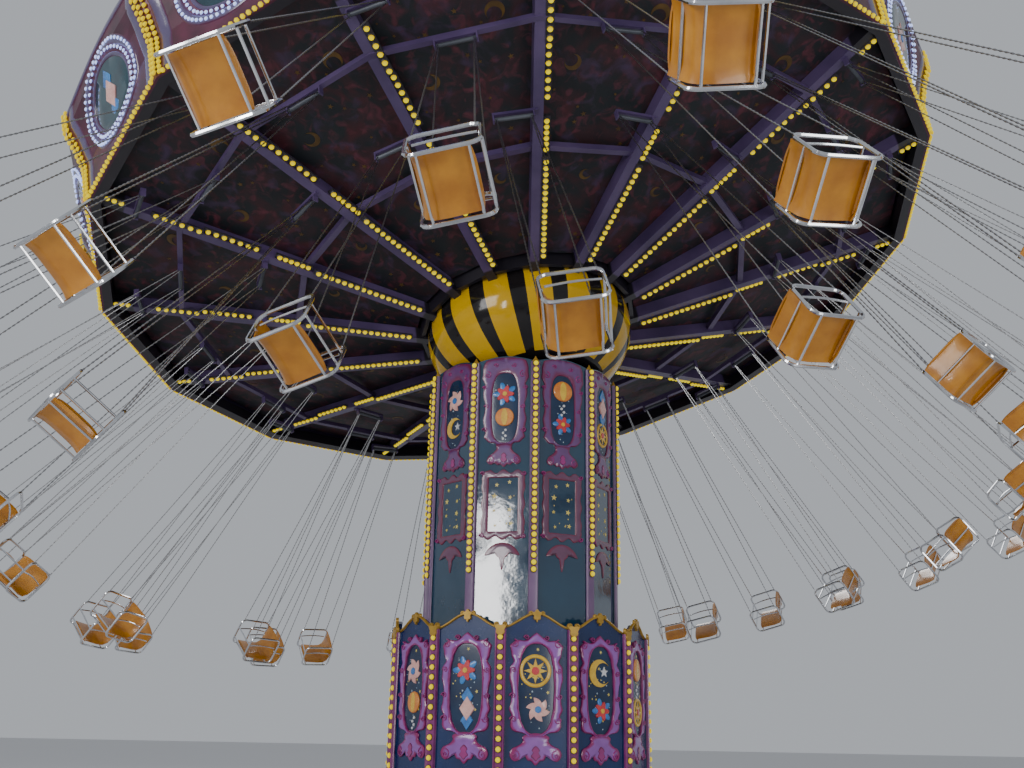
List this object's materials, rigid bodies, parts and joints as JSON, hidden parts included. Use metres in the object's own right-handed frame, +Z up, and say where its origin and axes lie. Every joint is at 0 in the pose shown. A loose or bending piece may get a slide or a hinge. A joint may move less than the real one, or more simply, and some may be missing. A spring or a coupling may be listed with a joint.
{
  "type": "chair swing ride",
  "caption": "Fairground swing ride: a turning column rises out of a fixed housing and carries a tilting canopy with rings of flying chairs.",
  "frame": {"origin": "middle of the ground frame's underside, on the floor at the tower's axis", "axes": "+Z up along the tower, -Y towards the viewer of the picture, +X to the viewer's right"},
  "size_m": [16.3129, 16.1591, 9.94],
  "materials": {
    "steel_frame": "satin",
    "mast_steel": "satin",
    "housing_paint": "gloss",
    "column_paint": "gloss",
    "bowl_paint": "gloss",
    "spoke_paint": "satin",
    "ceiling_paint": "satin",
    "board_paint": "satin",
    "roof_cover": "satin",
    "chair_frame": "polished"
  },
  "bodies": {
    "base": {"ground_frame": "steel_frame", "fixed_mast": "mast_steel", "housing_wall": "housing_paint"},
    "lift": {"lift_mast": "mast_steel"},
    "column": {"column_wall": "column_paint", "column_head": "mast_steel"},
    "tilt": {"tilt_head": "mast_steel"},
    "canopy": {"hub_bowl": "bowl_paint", "canopy_frame": "spoke_paint", "ceiling": "ceiling_paint", "rounding_boards": "board_paint", "canopy_roof": "roof_cover"},
    "chair_outer_01": {"chair_outer_01": "chair_frame"},
    "chair_outer_02": {"chair_outer_02": "chair_frame"},
    "chair_outer_03": {"chair_outer_03": "chair_frame"},
    "chair_outer_04": {"chair_outer_04": "chair_frame"},
    "chair_outer_05": {"chair_outer_05": "chair_frame"},
    "chair_outer_06": {"chair_outer_06": "chair_frame"},
    "chair_outer_07": {"chair_outer_07": "chair_frame"},
    "chair_outer_08": {"chair_outer_08": "chair_frame"},
    "chair_outer_09": {"chair_outer_09": "chair_frame"},
    "chair_outer_10": {"chair_outer_10": "chair_frame"},
    "chair_outer_11": {"chair_outer_11": "chair_frame"},
    "chair_outer_12": {"chair_outer_12": "chair_frame"},
    "chair_outer_13": {"chair_outer_13": "chair_frame"},
    "chair_outer_14": {"chair_outer_14": "chair_frame"},
    "chair_outer_15": {"chair_outer_15": "chair_frame"},
    "chair_outer_16": {"chair_outer_16": "chair_frame"},
    "chair_middle_01": {"chair_middle_01": "chair_frame"},
    "chair_middle_02": {"chair_middle_02": "chair_frame"},
    "chair_middle_03": {"chair_middle_03": "chair_frame"},
    "chair_middle_04": {"chair_middle_04": "chair_frame"},
    "chair_middle_05": {"chair_middle_05": "chair_frame"},
    "chair_middle_06": {"chair_middle_06": "chair_frame"},
    "chair_middle_07": {"chair_middle_07": "chair_frame"},
    "chair_middle_08": {"chair_middle_08": "chair_frame"},
    "chair_middle_09": {"chair_middle_09": "chair_frame"},
    "chair_middle_10": {"chair_middle_10": "chair_frame"},
    "chair_middle_11": {"chair_middle_11": "chair_frame"},
    "chair_middle_12": {"chair_middle_12": "chair_frame"},
    "chair_middle_13": {"chair_middle_13": "chair_frame"},
    "chair_middle_14": {"chair_middle_14": "chair_frame"},
    "chair_middle_15": {"chair_middle_15": "chair_frame"},
    "chair_middle_16": {"chair_middle_16": "chair_frame"},
    "chair_inner_01": {"chair_inner_01": "chair_frame"},
    "chair_inner_02": {"chair_inner_02": "chair_frame"},
    "chair_inner_03": {"chair_inner_03": "chair_frame"},
    "chair_inner_04": {"chair_inner_04": "chair_frame"},
    "chair_inner_05": {"chair_inner_05": "chair_frame"},
    "chair_inner_06": {"chair_inner_06": "chair_frame"},
    "chair_inner_07": {"chair_inner_07": "chair_frame"},
    "chair_inner_08": {"chair_inner_08": "chair_frame"},
    "chair_inner_09": {"chair_inner_09": "chair_frame"},
    "chair_inner_10": {"chair_inner_10": "chair_frame"},
    "chair_inner_11": {"chair_inner_11": "chair_frame"},
    "chair_inner_12": {"chair_inner_12": "chair_frame"},
    "chair_inner_13": {"chair_inner_13": "chair_frame"},
    "chair_inner_14": {"chair_inner_14": "chair_frame"},
    "chair_inner_15": {"chair_inner_15": "chair_frame"},
    "chair_inner_16": {"chair_inner_16": "chair_frame"}
  },
  "joints": [
    {"name": "column_lift", "type": "slide", "parent": "base", "child": "lift", "axis": [0, 0, 1], "range_m": [-1.9, 0]},
    {"name": "column_turn", "type": "hinge", "parent": "lift", "child": "column", "pos_m": [0, 0, 5], "axis": [0, 0, 1], "continuous": true},
    {"name": "canopy_tilt", "type": "hinge", "parent": "column", "child": "tilt", "pos_m": [0, 0, 6.625], "axis": [-0.8196, -0.573, 0], "range_deg": [-15.94, 0]},
    {"name": "canopy_spin", "type": "hinge", "parent": "tilt", "child": "canopy", "pos_m": [0, 0, 6.625], "axis": [-0.1574, 0.2251, 0.9615], "continuous": true},
    {"name": "swing_outer_01", "type": "hinge", "parent": "canopy", "child": "chair_outer_01", "pos_m": [-3.09287, -3.5505, 7.36826], "axis": [-0.754, 0.6015, -0.2642], "range_deg": [-42.7, 8]},
    {"name": "swing_outer_02", "type": "hinge", "parent": "canopy", "child": "chair_outer_02", "pos_m": [-1.49177, -4.36666, 7.82133], "axis": [-0.9406, 0.2623, -0.2154], "range_deg": [-37.19, 8]},
    {"name": "swing_outer_03", "type": "hinge", "parent": "canopy", "child": "chair_outer_03", "pos_m": [0.32681, -4.50426, 8.15116], "axis": [-0.9841, -0.1167, -0.1337], "range_deg": [-33.12, 8]},
    {"name": "swing_outer_04", "type": "hinge", "parent": "canopy", "child": "chair_outer_04", "pos_m": [2.08599, -3.94234, 8.30754], "axis": [-0.8778, -0.478, -0.0318], "range_deg": [-31.17, 8]},
    {"name": "swing_outer_05", "type": "hinge", "parent": "canopy", "child": "chair_outer_05", "pos_m": [3.51796, -2.76645, 8.26664], "axis": [-0.6378, -0.7665, 0.075], "range_deg": [-31.68, 8]},
    {"name": "swing_outer_06", "type": "hinge", "parent": "canopy", "child": "chair_outer_06", "pos_m": [4.40472, -1.15561, 8.03471], "axis": [-0.3007, -0.9384, 0.1704], "range_deg": [-34.56, 8]},
    {"name": "swing_outer_07", "type": "hinge", "parent": "canopy", "child": "chair_outer_07", "pos_m": [4.61127, 0.64494, 7.64705], "axis": [0.0821, -0.9673, 0.2399], "range_deg": [-39.31, 8]},
    {"name": "swing_outer_08", "type": "hinge", "parent": "canopy", "child": "chair_outer_08", "pos_m": [4.10615, 2.36109, 7.16268], "axis": [0.4525, -0.849, 0.2728], "range_deg": [-45.18, 8]},
    {"name": "swing_outer_09", "type": "hinge", "parent": "canopy", "child": "chair_outer_09", "pos_m": [2.96627, 3.73157, 6.65533], "axis": [0.754, -0.6015, 0.2642], "range_deg": [-51.3, 8]},
    {"name": "swing_outer_10", "type": "hinge", "parent": "canopy", "child": "chair_outer_10", "pos_m": [1.36517, 4.54774, 6.20226], "axis": [0.9406, -0.2623, 0.2154], "range_deg": [-56.81, 8]},
    {"name": "swing_outer_11", "type": "hinge", "parent": "canopy", "child": "chair_outer_11", "pos_m": [-0.45341, 4.68534, 5.87243], "axis": [0.9841, 0.1167, 0.1337], "range_deg": [-60.88, 8]},
    {"name": "swing_outer_12", "type": "hinge", "parent": "canopy", "child": "chair_outer_12", "pos_m": [-2.21259, 4.12342, 5.71605], "axis": [0.8778, 0.478, 0.0318], "range_deg": [-62.83, 8]},
    {"name": "swing_outer_13", "type": "hinge", "parent": "canopy", "child": "chair_outer_13", "pos_m": [-3.64457, 2.94753, 5.75695], "axis": [0.6378, 0.7665, -0.075], "range_deg": [-62.32, 8]},
    {"name": "swing_outer_14", "type": "hinge", "parent": "canopy", "child": "chair_outer_14", "pos_m": [-4.53133, 1.33669, 5.98888], "axis": [0.3007, 0.9384, -0.1704], "range_deg": [-59.44, 8]},
    {"name": "swing_outer_15", "type": "hinge", "parent": "canopy", "child": "chair_outer_15", "pos_m": [-4.73787, -0.46387, 6.37654], "axis": [-0.0821, 0.9673, -0.2399], "range_deg": [-54.69, 8]},
    {"name": "swing_outer_16", "type": "hinge", "parent": "canopy", "child": "chair_outer_16", "pos_m": [-4.23275, -2.18002, 6.86091], "axis": [-0.4525, 0.849, -0.2728], "range_deg": [-48.82, 8]},
    {"name": "swing_middle_01", "type": "hinge", "parent": "canopy", "child": "chair_middle_01", "pos_m": [-2.20743, -3.50685, 7.35915], "axis": [-0.8422, 0.4779, -0.2497], "range_deg": [-36.43, 8]},
    {"name": "swing_middle_02", "type": "hinge", "parent": "canopy", "child": "chair_middle_02", "pos_m": [-0.68892, -4.00344, 7.7239], "axis": [-0.9754, 0.1165, -0.1869], "range_deg": [-31.39, 8]},
    {"name": "swing_middle_03", "type": "hinge", "parent": "canopy", "child": "chair_middle_03", "pos_m": [0.92815, -3.88149, 7.96], "axis": [-0.9602, -0.2625, -0.0957], "range_deg": [-28.08, 8]},
    {"name": "swing_middle_04", "type": "hinge", "parent": "canopy", "child": "chair_middle_04", "pos_m": [2.39759, -3.15958, 8.03151], "axis": [-0.7987, -0.6016, 0.0101], "range_deg": [-27.07, 8]},
    {"name": "swing_middle_05", "type": "hinge", "parent": "canopy", "child": "chair_middle_05", "pos_m": [3.4957, -1.94761, 7.92753], "axis": [-0.5157, -0.8491, 0.1144], "range_deg": [-28.54, 8]},
    {"name": "swing_middle_06", "type": "hinge", "parent": "canopy", "child": "chair_middle_06", "pos_m": [4.05529, -0.43008, 7.6639], "axis": [-0.1541, -0.9673, 0.2012], "range_deg": [-32.23, 8]},
    {"name": "swing_middle_07", "type": "hinge", "parent": "canopy", "child": "chair_middle_07", "pos_m": [3.99118, 1.16196, 7.28075], "axis": [0.2309, -0.9383, 0.2574], "range_deg": [-37.51, 8]},
    {"name": "swing_middle_08", "type": "hinge", "parent": "canopy", "child": "chair_middle_08", "pos_m": [3.31312, 2.58616, 6.83641], "axis": [0.5807, -0.7664, 0.2744], "range_deg": [-43.58, 8]},
    {"name": "swing_middle_09", "type": "hinge", "parent": "canopy", "child": "chair_middle_09", "pos_m": [2.12435, 3.62568, 6.39853], "axis": [0.8422, -0.4779, 0.2497], "range_deg": [-49.57, 8]},
    {"name": "swing_middle_10", "type": "hinge", "parent": "canopy", "child": "chair_middle_10", "pos_m": [0.60583, 4.12227, 6.03378], "axis": [0.9754, -0.1165, 0.1869], "range_deg": [-54.61, 8]},
    {"name": "swing_middle_11", "type": "hinge", "parent": "canopy", "child": "chair_middle_11", "pos_m": [-1.01124, 4.00033, 5.79768], "axis": [0.9602, 0.2625, 0.0957], "range_deg": [-57.92, 8]},
    {"name": "swing_middle_12", "type": "hinge", "parent": "canopy", "child": "chair_middle_12", "pos_m": [-2.48068, 3.27842, 5.72617], "axis": [0.7987, 0.6016, -0.0101], "range_deg": [-58.93, 8]},
    {"name": "swing_middle_13", "type": "hinge", "parent": "canopy", "child": "chair_middle_13", "pos_m": [-3.57879, 2.06644, 5.83015], "axis": [0.5157, 0.8491, -0.1144], "range_deg": [-57.46, 8]},
    {"name": "swing_middle_14", "type": "hinge", "parent": "canopy", "child": "chair_middle_14", "pos_m": [-4.13838, 0.54892, 6.09379], "axis": [0.1541, 0.9673, -0.2012], "range_deg": [-53.77, 8]},
    {"name": "swing_middle_15", "type": "hinge", "parent": "canopy", "child": "chair_middle_15", "pos_m": [-4.07427, -1.04313, 6.47694], "axis": [-0.2309, 0.9383, -0.2574], "range_deg": [-48.49, 8]},
    {"name": "swing_middle_16", "type": "hinge", "parent": "canopy", "child": "chair_middle_16", "pos_m": [-3.39621, -2.46732, 6.92127], "axis": [-0.5807, 0.7664, -0.2744], "range_deg": [-42.42, 8]},
    {"name": "swing_inner_01", "type": "hinge", "parent": "canopy", "child": "chair_inner_01", "pos_m": [-2.39822, -2.26032, 6.80084], "axis": [-0.6706, 0.6904, -0.2714], "range_deg": [-35.58, 8]},
    {"name": "swing_inner_02", "type": "hinge", "parent": "canopy", "child": "chair_inner_02", "pos_m": [-1.36924, -2.9595, 7.1329], "axis": [-0.897, 0.3747, -0.2345], "range_deg": [-29.78, 8]},
    {"name": "swing_inner_03", "type": "hinge", "parent": "canopy", "child": "chair_inner_03", "pos_m": [-0.13272, -3.20683, 7.39316], "axis": [-0.9868, 0.002, -0.162], "range_deg": [-25.19, 8]},
    {"name": "swing_inner_04", "type": "hinge", "parent": "canopy", "child": "chair_inner_04", "pos_m": [1.12311, -2.96465, 7.54199], "axis": [-0.9264, -0.371, -0.0648], "range_deg": [-22.52, 8]},
    {"name": "swing_inner_05", "type": "hinge", "parent": "canopy", "child": "chair_inner_05", "pos_m": [2.20705, -2.26984, 7.55675], "axis": [-0.7249, -0.6875, 0.0423], "range_deg": [-22.26, 8]},
    {"name": "swing_inner_06", "type": "hinge", "parent": "canopy", "child": "chair_inner_06", "pos_m": [2.95408, -1.22818, 7.43518], "axis": [-0.4131, -0.8994, 0.1429], "range_deg": [-24.44, 8]},
    {"name": "swing_inner_07", "type": "hinge", "parent": "canopy", "child": "chair_inner_07", "pos_m": [3.25048, 0.00176, 7.19579], "axis": [-0.0384, -0.9743, 0.2218], "range_deg": [-28.68, 8]},
    {"name": "swing_inner_08", "type": "hinge", "parent": "canopy", "child": "chair_inner_08", "pos_m": [3.05112, 1.23272, 6.87503], "axis": [0.3421, -0.901, 0.2669], "range_deg": [-34.29, 8]},
    {"name": "swing_inner_09", "type": "hinge", "parent": "canopy", "child": "chair_inner_09", "pos_m": [2.38634, 2.27731, 6.52172], "axis": [0.6706, -0.6904, 0.2714], "range_deg": [-40.42, 8]},
    {"name": "swing_inner_10", "type": "hinge", "parent": "canopy", "child": "chair_inner_10", "pos_m": [1.35737, 2.97648, 6.18967], "axis": [0.897, -0.3747, 0.2345], "range_deg": [-46.22, 8]},
    {"name": "swing_inner_11", "type": "hinge", "parent": "canopy", "child": "chair_inner_11", "pos_m": [0.12084, 3.22381, 5.92941], "axis": [0.9868, -0.002, 0.162], "range_deg": [-50.81, 8]},
    {"name": "swing_inner_12", "type": "hinge", "parent": "canopy", "child": "chair_inner_12", "pos_m": [-1.13498, 2.98164, 5.78057], "axis": [0.9264, 0.371, 0.0648], "range_deg": [-53.48, 8]},
    {"name": "swing_inner_13", "type": "hinge", "parent": "canopy", "child": "chair_inner_13", "pos_m": [-2.21893, 2.28683, 5.76581], "axis": [0.7249, 0.6875, -0.0423], "range_deg": [-53.74, 8]},
    {"name": "swing_inner_14", "type": "hinge", "parent": "canopy", "child": "chair_inner_14", "pos_m": [-2.96596, 1.24516, 5.88738], "axis": [0.4131, 0.8994, -0.1429], "range_deg": [-51.56, 8]},
    {"name": "swing_inner_15", "type": "hinge", "parent": "canopy", "child": "chair_inner_15", "pos_m": [-3.26235, 0.01523, 6.12677], "axis": [0.0384, 0.9743, -0.2218], "range_deg": [-47.32, 8]},
    {"name": "swing_inner_16", "type": "hinge", "parent": "canopy", "child": "chair_inner_16", "pos_m": [-3.06299, -1.21574, 6.44753], "axis": [-0.3421, 0.901, -0.2669], "range_deg": [-41.71, 8]}
  ],
  "couplings": [
    {"joint": "canopy_tilt", "follows": "column_lift", "rad_per_m": 0.14642}
  ]
}
